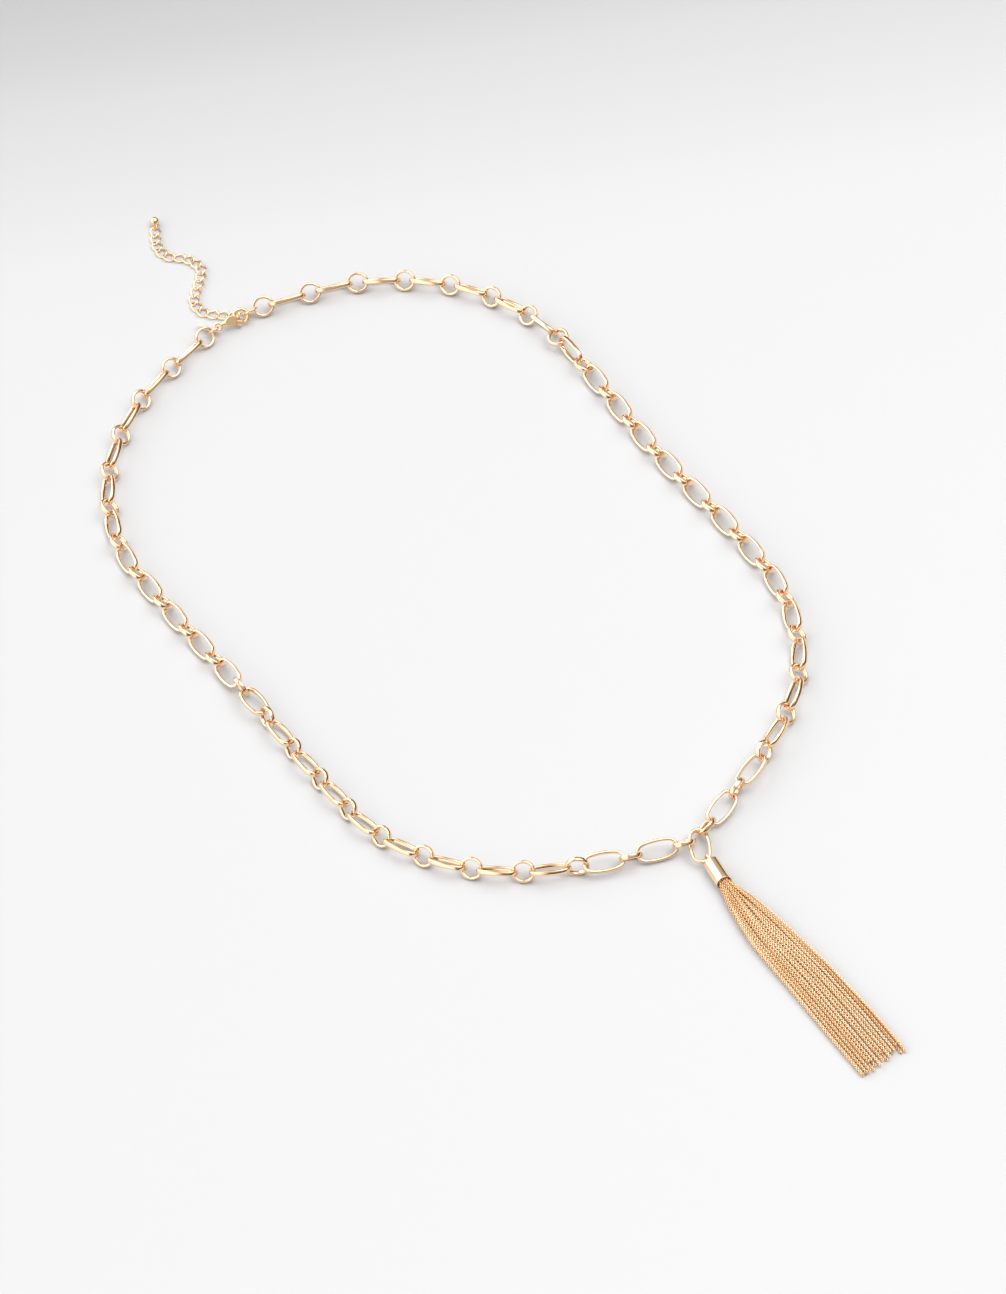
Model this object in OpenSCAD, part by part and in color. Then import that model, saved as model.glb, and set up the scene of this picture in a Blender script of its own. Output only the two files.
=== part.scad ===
// Long tassel necklace of oval and nearly round links, lying on a flat surface as an open loop.
// +Z is up, the surface is at Z = 0, and the tassel points towards -Y.

/* [Main chain] */
// Thickness of the wire of the main links
chain_wire = 1.05; // [0.9:0.05:1.2]
// Outer length of a long oval link
long_link_length = 14.1; // [13:0.1:16]
// Outer width of a long oval link
long_link_width = 7.2; // [6.6:0.1:8]
// Outer diameter of a short round link
short_link_diameter = 7.9; // [7.5:0.1:9]
// Play left where one link hangs in the next
link_play = 0.1; // [0.05:0.01:0.2]
// Play left where a jump ring holds another piece
ring_play = 0.2; // [0.1:0.01:0.3]

/* [Jump rings] */
// Outer diameter of the jump ring that the clasp grips
grip_ring_diameter = 6; // [5.6:0.1:7]
// Wire of the jump ring that the clasp grips
grip_ring_wire = 0.75; // [0.6:0.05:0.9]
// Outer diameter of the jump ring at the clasp's tail
tail_ring_diameter = 4.8; // [4.6:0.1:5.6]
// Wire of the jump ring at the clasp's tail
tail_ring_wire = 0.7; // [0.5:0.05:0.8]

/* [Clasp] */
// Distance from the middle of the tail loop to the middle of the claw
clasp_reach = 8.9; // [8.5:0.1:10]
// Radius of the claw along the middle of its bar
claw_radius = 2.5; // [2.4:0.1:3]
// Diameter of the claw's bar
claw_bar = 1.4; // [1:0.1:1.6]
// Thickness of the clasp's body from face to face
clasp_thickness = 2.4; // [2:0.1:2.8]
// Thickness of the lever
lever_thickness = 0.9; // [0.7:0.1:1.1]
// Width of the lever's arm
lever_width = 1.1; // [0.9:0.1:1.3]
// Length of the lever's arm from its pin
lever_length = 3.55; // [3:0.05:4]
// Diameter of the lever's hinge pin
pin_diameter = 0.8; // [0.6:0.1:1]
// Running clearance round the pin
pin_clearance = 0.06; // [0.03:0.01:0.1]
// Clearance of the lever in its slot, each side
slot_clearance = 0.1; // [0.05:0.01:0.15]

/* [Tag] */
// Length of the small blank tag
tag_length = 8.4; // [6:0.2:9]
// Width of the tag
tag_width = 3.2; // [2.8:0.1:4]
// Thickness of the tag
tag_thickness = 0.5; // [0.3:0.1:0.8]
// Diameter of the hole in the tag
tag_hole = 1.7; // [1.5:0.1:2]

/* [Extender] */
// Outer length of an extender link
small_link_length = 5.4; // [5.2:0.1:5.8]
// Outer width of an extender link
small_link_width = 4; // [3.8:0.1:4.4]
// Wire of an extender link
small_wire = 0.55; // [0.45:0.05:0.6]
// Play left between two extender links
small_play = 0.3; // [0.2:0.01:0.4]
// Diameter of the ball that ends the extender
ball_diameter = 3.4; // [3:0.1:4]

/* [Tassel] */
// Outer diameter of the tassel's cap
cap_diameter = 5.4; // [5:0.1:6]
// Length of the cap
cap_length = 9.8; // [8:0.2:12]
// Wall of the cap
cap_wall = 0.4; // [0.3:0.1:0.6]
// Mean radius of the loop soldered to the cap
cap_loop_radius = 1.8; // [1.7:0.1:2]
// Wire of the cap's loop
cap_loop_wire = 0.8; // [0.7:0.1:1]
// Length of the strands beyond the cap
strand_length = 92; // [70:1:100]
// Width of the strands where they end
strand_spread = 16.8; // [12:0.2:20]
// Depth of the strands where they end
strand_depth = 2; // [1.6:0.1:3]
// Number of locks side by side
lock_count = 9; // [7:1:11]

/* [Hidden] */
$fn = 48;

// Route of the right side of the chain, from its first short link by the clasp to the last by the tassel.
RIGHT_ROUTE = [[-38.5, 172], [-3.5, 171], [28, 157], [51, 132], [64, 101.5], [79.5, 51], [97.5, 2.5],
    [106, -31], [102.5, -65], [84.5, -94], [59.5, -118]];
// Route of the left side between its two end links, from the tassel to the clasp.
LEFT_ROUTE = [[15, -120.5], [-17, -109], [-42, -86], [-57, -55], [-76, -5], [-95.5, 43], [-106, 76.5],
    [-104, 111.5], [-88, 142]];
// Route of the extender beyond its first link, up to the loop on the ball.
EXTENDER_ROUTE = [[-54, 176], [-60, 180], [-62, 187], [-59, 195], [-57, 202], [-61, 209], [-68, 213.5],
    [-70.5, 220], [-70, 227.5]];

// Columns: share of the side's length, lean of its long links there in degrees. The short links lean
// 90 less.
RIGHT_LEAN = [[0, 40], [0.25, 42], [0.29, 56], [0.34, 105], [0.38, 138], [0.86, 138], [0.93, 174],
    [0.98, 223], [1, 225]];
LEFT_LEAN = [[0, 45], [0.045, 40], [0.068, 25], [0.09, -3], [0.114, -28], [0.135, -37], [0.43, -37],
    [0.475, -14], [0.53, 43], [1, 42]];

// Columns: share of the strands' length, sideways shift as a share of that length, share of the width
// at the ends, share of the depth that the cap's bore adds.
STRAND_FORM = [[0, 0, 0.27, 1], [0.1, 0.012, 0.57, 0.85], [0.2, 0.022, 0.72, 0.6], [0.3, 0.034, 0.82, 0.45],
    [0.53, 0.068, 0.93, 0.25], [0.77, 0.095, 1, 0.08], [1, 0.117, 0.99, 0]];

// How far soldered pieces reach into each other, and how far a cutting shape runs past what it cuts.
solder = 0.1;
cut_margin = 1;

// Half lengths, half widths and radii along the middle of the wire.
long_a = (long_link_length - chain_wire) / 2;
long_b = (long_link_width - chain_wire) / 2;
short_radius = (short_link_diameter - chain_wire) / 2;
small_a = (small_link_length - small_wire) / 2;
small_b = (small_link_width - small_wire) / 2;
// Radius of a long link's end arcs, as a share of its half width.
END_SHARE = 0.75;
long_end_radius = long_b * END_SHARE;
long_side_radius = ((long_a - long_end_radius) * (long_a - long_end_radius) + long_b * long_b
    - long_end_radius * long_end_radius) / (2 * (long_b - long_end_radius));
long_end_half = atan2(long_side_radius - long_b, long_a - long_end_radius);
// The soldered joint between two arcs of a long link stands a little proud of the wire.
joint_swell = 0.02;
joint_length = 0.08;
half_step = long_a + short_radius - chain_wire - link_play;
small_step = 2 * small_a - small_wire - small_play;

// Heights and directions of the pieces round the clasp and the tassel, in millimetres and degrees.
grip_ring_yaw = 20;
clasp_yaw = 13.5;
clasp_lean = -45;
ring_lean = 45;
tail_ring_yaw = 31;
last_link_yaw = 35.5;
tag_yaw = 132.7;
tag_lean = -57;
centre_yaw = -96;
centre_pitch = -3;
centre_lean = 8;
centre_drop = 0.2;
// Play where the centre link holds the two sides and the tassel's loop.
side_play = 0.3;
hang_play = 0.15;
// Where the first left link holds the centre link, as a share of the link's half length from its middle.
side_share = -0.37;
// Where the tassel's loop holds the centre link, round the link's end arc from its tip.
hang_angle = 60;
cap_yaw = -77.2;
cap_lift = 0.05;
cap_height = cap_diameter / 2 + cap_lift;
cap_loop_yaw = -60;
cap_loop_drop = 0.4;

function along(yaw, distance) = [distance * cos(yaw), distance * sin(yaw), 0];
function yaw_of(v) = atan2(v[1], v[0]);
function pitch_of(v) = atan2(v[2], norm([v[0], v[1]]));
// A point of a ring or link given in its own plane, in the position of that ring or link.
function in_plane(yaw, lean, p) =
    along(yaw, p[0]) + along(yaw + 90, p[1] * cos(lean)) - [0, 0, p[1] * sin(lean)];

// A smooth curve through route points, as closely spaced points.
function curve(a, b, c, d, t) =
    0.5 * (2 * b + (c - a) * t + (2 * a - 5 * b + 4 * c - d) * t * t + (3 * b - a - 3 * c + d) * t * t * t);
function smooth(route) = let (last = len(route) - 1)
    [for (i = [0:last - 1]) for (t = [0:0.1:0.95])
        curve(route[max(i - 1, 0)], route[i], route[i + 1], route[min(i + 2, last)], t), route[last]];
function distances(points) = let (last = len(points) - 1)
    [for (i = 0, s = 0; i <= last; s = s + norm(points[min(i + 1, last)] - points[i]), i = i + 1) s];
function point_at(points, run, s) =
    [for (axis = [0, 1]) lookup(s, [for (i = [0:len(run) - 1]) [run[i], points[i][axis]]])];
// Points at equal steps no longer than step, an even number of steps where pairs is true.
function spaced(route, step, pairs) = let (points = smooth(route), run = distances(points),
        total = run[len(run) - 1], n = pairs ? 2 * ceil(total / step / 2) : ceil(total / step))
    [for (i = [0:n]) point_at(points, run, total * i / n)];

// The height at which the links rest on the surface at a given lean.
function rest_height(lean) = max(long_b * abs(sin(lean)), short_radius * abs(cos(lean))) + chain_wire / 2;
function side_links(route, leans) = let (flat = spaced(route, half_step, true), last = len(flat) - 1)
    [for (i = [0:last]) let (lean = lookup(i / last, leans)) [flat[i][0], flat[i][1], rest_height(lean)]];

module place(point, yaw, pitch, lean) {
    translate(point)
        rotate([-lean, -pitch, yaw])
            children();
}

// A long link: two end arcs and two side arcs of round wire, soldered where they meet.
module long_link() {
    for (turn = [0, 180])
        rotate(turn) {
            translate([long_a - long_end_radius, 0, 0]) {
                rotate_extrude(angle = 2 * long_end_half, start = -long_end_half)
                    translate([long_end_radius, 0, 0])
                        circle(d = chain_wire);
                for (side = [-1, 1])
                    rotate(side * long_end_half)
                        translate([long_end_radius, 0, 0])
                            rotate([90, 0, 0])
                                cylinder(d = chain_wire + joint_swell, h = joint_length, center = true);
            }
            translate([0, long_b - long_side_radius, 0])
                rotate_extrude(angle = 180 - 2 * long_end_half, start = long_end_half)
                    translate([long_side_radius, 0, 0])
                        circle(d = chain_wire);
        }
}

module round_ring(radius, wire) {
    rotate_extrude()
        translate([radius, 0, 0])
            circle(d = wire);
}

module chain_side(links, leans) {
    last = len(links) - 1;
    for (i = [0:last]) {
        way = links[min(i + 1, last)] - links[max(i - 1, 0)];
        lean = lookup(i / last, leans);
        if (i % 2 == 0)
            place(links[i], yaw_of(way), pitch_of(way), lean - 90)
                round_ring(short_radius, chain_wire);
        else
            place(links[i], yaw_of(way), pitch_of(way), lean)
                long_link();
    }
}

// The clasp end: the grip ring hangs in the first right link, the clasp's claw in the grip ring,
// the tail ring in the clasp's tail loop, and the last left link in the tail ring.
right_links = side_links(RIGHT_ROUTE, RIGHT_LEAN);
first_yaw = yaw_of(right_links[1] - right_links[0]);
grip_radius = (grip_ring_diameter - grip_ring_wire) / 2;
grip_place = right_links[0] - along(first_yaw, short_radius)
    - along(grip_ring_yaw, grip_radius - (grip_ring_wire + chain_wire) / 2 - ring_play);
claw_place = grip_place
    - along(grip_ring_yaw, grip_radius + claw_radius - (grip_ring_wire + claw_bar) / 2 - ring_play);
clasp_place = claw_place - along(clasp_yaw, clasp_reach);
tail_loop_radius = 1.2;
tail_loop_wire = 0.8;
tail_radius = (tail_ring_diameter - tail_ring_wire) / 2;
tail_place = clasp_place - along(tail_ring_yaw,
    tail_loop_radius + tail_radius - (tail_ring_wire + tail_loop_wire) / 2 - ring_play);
left_end = tail_place - along(tail_ring_yaw, tail_radius - (tail_ring_wire + chain_wire) / 2 - ring_play)
    - along(last_link_yaw, short_radius);

// The tassel end: the centre link hangs in the last right link, the first left link on its side, and
// the loop of the tassel's cap at its other end.
right_last = right_links[len(right_links) - 1];
right_yaw = yaw_of(right_last - right_links[len(right_links) - 2]);
pull = right_yaw + 180 - centre_yaw;
pull_point = [long_end_radius * cos(pull) - (long_a - long_end_radius), long_end_radius * sin(pull)];
centre_flat = right_last + along(right_yaw, short_radius - chain_wire - side_play)
    - in_plane(centre_yaw, centre_lean, pull_point);
centre_place = [centre_flat[0], centre_flat[1], right_last[2] - centre_drop];
side_x = side_share * long_a;
side_point = [side_x,
    long_side_radius - long_b - sqrt(long_side_radius * long_side_radius - side_x * side_x)];
first_left_yaw = 182;
left_start = centre_place + in_plane(centre_yaw, centre_lean, side_point)
    + along(first_left_yaw, short_radius - chain_wire - side_play);
hang_point = [long_a - long_end_radius + long_end_radius * cos(hang_angle),
    long_end_radius * sin(hang_angle)];
hang_reach = cap_loop_radius - (cap_loop_wire + chain_wire) / 2 - hang_play;
loop_flat = centre_place + in_plane(centre_yaw, centre_lean, hang_point) + along(cap_yaw, hang_reach);
loop_place = [loop_flat[0], loop_flat[1], cap_height - cap_loop_drop];
cap_flat = loop_place + along(cap_yaw, cap_loop_radius - solder);
cap_place = [cap_flat[0], cap_flat[1], cap_height];

left_route = concat([[left_start[0], left_start[1]]], LEFT_ROUTE, [[left_end[0], left_end[1]]]);
left_links = side_links(left_route, LEFT_LEAN);

module chain_right() {
    color("gold")
        chain_side(right_links, RIGHT_LEAN);
}

module chain_left() {
    color("gold")
        chain_side(left_links, LEFT_LEAN);
}

module centre_link() {
    color("gold")
        place(centre_place, centre_yaw, centre_pitch, centre_lean)
            long_link();
}

module clasp_jump_ring() {
    color("gold")
        place(grip_place, grip_ring_yaw, 0, ring_lean)
            round_ring(grip_radius, grip_ring_wire);
}

module tail_jump_ring() {
    color("gold")
        place(tail_place, tail_ring_yaw, 0, ring_lean)
            round_ring(tail_radius, tail_ring_wire);
}

// The clasp lies with its long axis level and leans so that its far side is raised.
// Places along and across the clasp, from the middle of its tail loop.
pin_setback = 3.9;
pin_x = clasp_reach - pin_setback;
pin_y = -0.4;
arm_angle = -27;
spur_angle = -50;
spur_length = 3.4;
spur_width = 0.8;
tip_angle = -75;
root_angle = 155;
slot_half = lever_thickness / 2 + slot_clearance;
hub_radius = 0.95;
body_length = clasp_reach - claw_radius + claw_bar / 2 - solder;
body_radius = 2.05;
// Half of the body's outline: share of its length, share of its greatest radius.
BODY_FORM = [[0.13, 0], [0.13, 0.3], [0.24, 0.36], [0.38, 0.55], [0.54, 0.85], [0.7, 1], [0.86, 0.95],
    [0.96, 0.75], [1, 0.5], [1, 0]];

module lever_slot() {
    translate([pin_x, pin_y, -slot_half])
        cylinder(r = hub_radius + slot_clearance, h = 2 * slot_half);
    translate([pin_x - hub_radius - slot_clearance, pin_y - 2 * body_radius, -slot_half])
        cube([body_length, 2 * body_radius, 2 * slot_half]);
    translate([pin_x, pin_y - body_radius, -slot_half])
        cube([body_length, body_radius + hub_radius + slot_clearance, 2 * slot_half]);
}

module clasp_body() {
    color("gold")
        place(clasp_place, clasp_yaw, 0, clasp_lean) {
            round_ring(tail_loop_radius, tail_loop_wire);
            difference() {
                intersection() {
                    rotate([90, 0, 90])
                        rotate_extrude()
                            polygon([for (p = BODY_FORM) [p[1] * body_radius, p[0] * body_length]]);
                    translate([0, -body_radius - cut_margin, -clasp_thickness / 2])
                        cube([body_length + cut_margin, 2 * (body_radius + cut_margin), clasp_thickness]);
                }
                lever_slot();
                translate([0, 0, -clasp_thickness])
                    cylinder(r = tail_loop_radius - tail_loop_wire / 2, h = 2 * clasp_thickness);
            }
            translate([pin_x, pin_y, -clasp_thickness / 2 + slot_clearance])
                cylinder(d = pin_diameter, h = clasp_thickness - 2 * slot_clearance);
            translate([clasp_reach, 0, 0]) {
                rotate_extrude(angle = root_angle - tip_angle, start = tip_angle)
                    translate([claw_radius, 0, 0])
                        circle(d = claw_bar);
                rotate(tip_angle)
                    translate([claw_radius, 0, 0])
                        sphere(d = claw_bar);
            }
        }
}

module lever_bar(angle, length, width) {
    rotate(angle) {
        translate([0, -width / 2, -lever_thickness / 2])
            cube([length, width, lever_thickness]);
        translate([length, 0, -lever_thickness / 2])
            cylinder(d = width, h = lever_thickness);
    }
}

module clasp_lever() {
    color("gold")
        place(clasp_place, clasp_yaw, 0, clasp_lean)
            translate([pin_x, pin_y, 0])
                difference() {
                    union() {
                        translate([0, 0, -lever_thickness / 2])
                            cylinder(r = hub_radius, h = lever_thickness);
                        lever_bar(arm_angle, lever_length, lever_width);
                        lever_bar(spur_angle, spur_length, spur_width);
                    }
                    translate([0, 0, -lever_thickness])
                        cylinder(d = pin_diameter + 2 * pin_clearance, h = 2 * lever_thickness);
                }
}

// The tag hangs on the far side of the tail ring.
tag_angle = 72;
tag_place = tail_place
    + in_plane(tail_ring_yaw, ring_lean, [tail_radius * cos(tag_angle), tail_radius * sin(tag_angle)]);
tag_edge = 0.6;

module blank_tag() {
    color("gold")
        place(tag_place, tag_yaw, 0, tag_lean)
            difference() {
                union() {
                    translate([tag_width / 2 - tag_hole / 2 - tag_edge, 0, -tag_thickness / 2])
                        cylinder(d = tag_width, h = tag_thickness);
                    translate([tag_width / 2 - tag_hole / 2 - tag_edge, -tag_width / 2, -tag_thickness / 2])
                        cube([tag_length - tag_width, tag_width, tag_thickness]);
                    translate([tag_length - tag_width / 2 - tag_hole / 2 - tag_edge, 0, -tag_thickness / 2])
                        cylinder(d = tag_width, h = tag_thickness);
                }
                translate([0, 0, -tag_thickness])
                    cylinder(d = tag_hole, h = 2 * tag_thickness);
            }
}

// The extender's links are all alike, each twisted from end to end so that the row lies flat.
// The first link rises a little to the ring that holds it.
SMALL_TWIST = 50;
small_lift = 0.01;
SMALL_RISE = max([for (turn = [0:5:90]) sin(turn) * sin(SMALL_TWIST * cos(turn))]);
small_height = SMALL_RISE * small_b + small_wire / 2 + small_lift;
hook_angle = 113;
hook_yaw = 180;
hook_play = 0.45;
first_turn = -15;
first_lift = 0.5;
hook_place = grip_place
    + in_plane(grip_ring_yaw, ring_lean, [grip_radius * cos(hook_angle), grip_radius * sin(hook_angle)]);
extender_start = hook_place + along(hook_yaw, small_a - (small_wire + grip_ring_wire) / 2 - hook_play);
extender_links = spaced(concat([[extender_start[0], extender_start[1]]], EXTENDER_ROUTE), small_step, false);
extender_last = len(extender_links) - 1;
SMALL_STATIONS = 14;
SMALL_SIDES = 6;

function small_point(turn) = let (twist = SMALL_TWIST * cos(turn))
    [small_a * cos(turn), small_b * sin(turn) * cos(twist), small_b * sin(turn) * sin(twist)];

module small_link() {
    points = [for (i = [0:SMALL_STATIONS - 1]) let (turn = 360 * i / SMALL_STATIONS,
            middle = small_point(turn), way = small_point(turn + 1) - small_point(turn - 1),
            side = cross(way, cross(middle, way)), out = side / norm(side), up = cross(way, out) / norm(way))
        for (k = [0:SMALL_SIDES - 1])
            let (angle = 360 * k / SMALL_SIDES)
            middle + small_wire / 2 * (out * cos(angle) + up * sin(angle))];
    faces = [for (i = [0:SMALL_STATIONS - 1]) for (k = [0:SMALL_SIDES - 1])
        let (here = i * SMALL_SIDES, next = (i + 1) % SMALL_STATIONS * SMALL_SIDES,
            turned = (k + 1) % SMALL_SIDES)
        each [[here + k, next + k, next + turned], [here + k, next + turned, here + turned]]];
    polyhedron(points, faces);
}

module extender_chain() {
    color("gold")
        for (i = [0:extender_last]) {
            way = extender_links[min(i + 1, extender_last)] - extender_links[max(i - 1, 0)];
            yaw = i == 0 ? hook_yaw + first_turn : yaw_of(way);
            height = i == 0 ? small_height + first_lift : small_height;
            place([extender_links[i][0], extender_links[i][1], height], yaw, 0, 0)
                small_link();
        }
}

ball_loop_radius = 0.85;
ball_loop_wire = 0.5;
ball_way = extender_links[extender_last] - extender_links[extender_last - 1];
ball_reach = ball_loop_radius + ball_diameter / 2 - ball_loop_wire / 2;
ball_pitch = asin((ball_diameter / 2 - small_height) / ball_reach);

module extender_ball() {
    reach = small_a - (small_wire + ball_loop_wire) / 2 - small_play + ball_loop_radius;
    color("gold")
        place([extender_links[extender_last][0], extender_links[extender_last][1], small_height],
                yaw_of(ball_way), 0, 0)
            translate([reach, 0, 0])
                rotate([0, -ball_pitch, 0]) {
                    rotate([-ring_lean, 0, 0])
                        round_ring(ball_loop_radius, ball_loop_wire);
                    translate([ball_reach, 0, 0])
                        sphere(d = ball_diameter);
                }
}

// The cap is a tube with a closed end; its loop stands upright on that end.
cap_top = 0.5;
cap_edge = 0.2;
bore = cap_diameter - 2 * cap_wall;

module tassel_cap() {
    outer = cap_diameter / 2;
    rim = cap_edge / 2;
    color("gold") {
        place(cap_place, cap_yaw, 0, 0)
            rotate([90, 0, 90])
                rotate_extrude()
                    polygon([[0, 0], [outer - cap_edge, 0], [outer, cap_edge], [outer, cap_length - rim],
                        [outer - rim, cap_length], [bore / 2, cap_length], [bore / 2, cap_top],
                        [0, cap_top]]);
        place(loop_place, cap_loop_yaw, 0, 90)
            round_ring(cap_loop_radius, cap_loop_wire);
    }
}

// The strands are built as overlapping locks on a head that sits in the cap.
plug_clearance = 0.12;
plug_depth = 6;
plug_sides = 24;
mouth_gap = 0.15;
mouth_inset = 0.2;
lock_overlap = 1.7;
lock_sides = 8;
lock_slice = 0.02;
// How much thinner the outer locks are, and the share of the length over which the locks come down.
edge_thinning = 0.6;
settle_share = 0.33;
// The locks' ends lie in three steps, taken in turn with a stride, each a share of the length.
end_step = 0.02;
end_steps = 3;
end_stride = 5;
stations = len(STRAND_FORM) - 1;
plug_diameter = bore - 2 * plug_clearance;

function form(share, column) = lookup(share, [for (row = STRAND_FORM) [row[0], row[column]]]);

// One cross-section of a lock: k counts the locks, share is how far along the strands it is.
module lock_section(k, share) {
    across = 2 * k / (lock_count - 1) - 1;
    width = form(share, 2) * strand_spread;
    depth = strand_depth + (plug_diameter - mouth_inset - strand_depth) * form(share, 3);
    lock_width = width / lock_count * lock_overlap;
    lock_depth = depth * sqrt(1 - edge_thinning * across * across);
    middle_height = (cap_height - bore / 2) * (1 - min(1, share / settle_share)) + depth / 2;
    shift = form(share, 1) * strand_length;
    translate([mouth_gap + share * strand_length, shift + across * (width - lock_width) / 2,
            middle_height - cap_height])
        rotate([90, 0, 90])
            scale([lock_width, lock_depth, 1])
                cylinder(d = 1, h = lock_slice, $fn = lock_sides);
}

module tassel_strands() {
    color("gold")
        place(cap_place + along(cap_yaw, cap_length), cap_yaw, 0, 0)
            union() {
                translate([-plug_depth, 0, 0])
                    rotate([0, 90, 0])
                        cylinder(d = plug_diameter, h = plug_depth + 2 * mouth_gap, $fn = plug_sides);
                for (k = [0:lock_count - 1]) {
                    end_share = 1 - end_step * (k * end_stride % end_steps);
                    for (i = [0:stations - 1])
                        hull() {
                            lock_section(k, STRAND_FORM[i][0] * end_share);
                            lock_section(k, STRAND_FORM[i + 1][0] * end_share);
                        }
                }
            }
}

chain_right();
chain_left();
centre_link();
tassel_cap();
tassel_strands();
clasp_body();
clasp_lever();
clasp_jump_ring();
tail_jump_ring();
blank_tag();
extender_chain();
extender_ball();
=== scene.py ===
import math

import bmesh
import bpy
import numpy as np
from mathutils import Matrix, Vector


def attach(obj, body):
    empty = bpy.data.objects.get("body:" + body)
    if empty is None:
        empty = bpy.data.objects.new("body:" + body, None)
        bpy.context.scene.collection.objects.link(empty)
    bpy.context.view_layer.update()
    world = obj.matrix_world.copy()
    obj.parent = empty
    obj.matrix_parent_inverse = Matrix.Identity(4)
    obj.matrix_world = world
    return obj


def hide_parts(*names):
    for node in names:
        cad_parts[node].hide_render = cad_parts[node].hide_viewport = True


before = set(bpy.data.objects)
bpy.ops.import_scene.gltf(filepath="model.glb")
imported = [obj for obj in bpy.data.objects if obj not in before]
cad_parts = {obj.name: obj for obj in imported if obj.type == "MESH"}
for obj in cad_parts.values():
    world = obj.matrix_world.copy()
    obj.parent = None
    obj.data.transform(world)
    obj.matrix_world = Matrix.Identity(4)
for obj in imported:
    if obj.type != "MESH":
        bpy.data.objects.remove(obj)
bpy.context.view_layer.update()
scene = bpy.context.scene
MM = 0.001

# Camera. It looks down at the necklace from the front, turned a little about its own axis, and far
# enough away for the long lens to keep the links alike from the clasp to the tassel's ends.
PHOTO_HEIGHT = 1294
FOCAL_PIXELS = 5800
LOOK_DOWN = math.radians(46.7)
ROLL = math.radians(15.2)
CAMERA_PLACE = Vector((0.0118, -1.3383, 1.4036))
SENSOR = 36
CLIP_NEAR = 0.1
CLIP_FAR = 20

camera_data = bpy.data.cameras.new("camera")
camera_data.sensor_width = SENSOR
camera_data.lens = FOCAL_PIXELS / PHOTO_HEIGHT * SENSOR
camera_data.clip_start = CLIP_NEAR
camera_data.clip_end = CLIP_FAR
camera = bpy.data.objects.new("camera", camera_data)
scene.collection.objects.link(camera)
look = Vector((0, math.cos(LOOK_DOWN), -math.sin(LOOK_DOWN)))
level_right = Vector((1, 0, 0))
level_up = level_right.cross(look)
right = level_right * math.cos(ROLL) - level_up * math.sin(ROLL)
up = level_right * math.sin(ROLL) + level_up * math.cos(ROLL)
camera.matrix_world = Matrix((
    (right.x, up.x, -look.x, CAMERA_PLACE.x),
    (right.y, up.y, -look.y, CAMERA_PLACE.y),
    (right.z, up.z, -look.z, CAMERA_PLACE.z),
    (0, 0, 0, 1)))
scene.camera = camera

# Floor and light. The surface is a plain matt white board. A soft light stands high on the right, so
# that shadows fall softly to the left, in a pale room with broad bright panels.
scene.view_settings.view_transform = "Standard"
FLOOR_SIZE = 6.0
BOARD_ROUGHNESS = 0.8
half = FLOOR_SIZE / 2

floor_mesh = bpy.data.meshes.new("floor")
floor_corners = [(-half, -half, 0), (half, -half, 0), (half, half, 0), (-half, half, 0)]
floor_mesh.from_pydata(floor_corners, [], [(0, 1, 2, 3)])
floor = bpy.data.objects.new("floor", floor_mesh)
scene.collection.objects.link(floor)
board = bpy.data.materials.new("white_board")
board.use_nodes = True
board_nodes, board_links = board.node_tree.nodes, board.node_tree.links
board_shader = board_nodes["Principled BSDF"]
board_shader.inputs["Roughness"].default_value = BOARD_ROUGHNESS
# Painted shade darkens the board's far part. Columns: metres away along the fall, share of its white.
BOARD_WHITE = (0.509, 0.527, 0.554)
BOARD_FALL = (0.197, 0.98, 0)
BOARD_SHADE_FALLOFF = (
    (0.05, 1.0), (0.172, 0.99), (0.199, 0.975), (0.224, 0.935), (0.259, 0.88), (0.285, 0.835),
    (0.311, 0.755), (0.45, 0.45))
board_place = board_nodes.new("ShaderNodeTexCoord")
board_parts = board_nodes.new("ShaderNodeVectorMath")
board_parts.operation = "DOT_PRODUCT"
board_parts.inputs[1].default_value = BOARD_FALL
board_links.new(board_place.outputs["Object"], board_parts.inputs[0])
board_reach = board_nodes.new("ShaderNodeMapRange")
board_reach.inputs["From Min"].default_value = BOARD_SHADE_FALLOFF[0][0]
board_reach.inputs["From Max"].default_value = BOARD_SHADE_FALLOFF[-1][0]
board_links.new(board_parts.outputs["Value"], board_reach.inputs["Value"])
# The painted shade goes into the board's colour.
board_painted_shade = board_nodes.new("ShaderNodeValToRGB")
board_links.new(board_reach.outputs["Result"], board_painted_shade.inputs["Fac"])
board_span = BOARD_SHADE_FALLOFF[-1][0] - BOARD_SHADE_FALLOFF[0][0]
for place, share in BOARD_SHADE_FALLOFF:
    stop = (place - BOARD_SHADE_FALLOFF[0][0]) / board_span
    if stop in (0, 1):
        element = board_painted_shade.color_ramp.elements[0 if stop == 0 else -1]
    else:
        element = board_painted_shade.color_ramp.elements.new(stop)
    element.color = (*[c * share for c in BOARD_WHITE], 1)
board_links.new(board_painted_shade.outputs["Color"], board_shader.inputs["Base Color"])
floor_mesh.materials.append(board)

# The lamp: its place in metres, its side, its power in watts and its tint. It points at the middle.
LAMP_PLACE = Vector((1.1, -0.7, 1.8))
LAMP_SIDE = 1.2
LAMP_POWER = 15.5
LAMP_TINT = (1, 0.995, 0.99)

lamp_data = bpy.data.lights.new("side", "AREA")
lamp_data.shape = "RECTANGLE"
lamp_data.size = LAMP_SIDE
lamp_data.size_y = LAMP_SIDE
lamp_data.energy = LAMP_POWER
lamp_data.color = LAMP_TINT
lamp = bpy.data.objects.new("side", lamp_data)
lamp.location = LAMP_PLACE
lamp.rotation_euler = (-LAMP_PLACE).to_track_quat("-Z", "Y").to_euler()
lamp.visible_glossy = False
scene.collection.objects.link(lamp)

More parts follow.
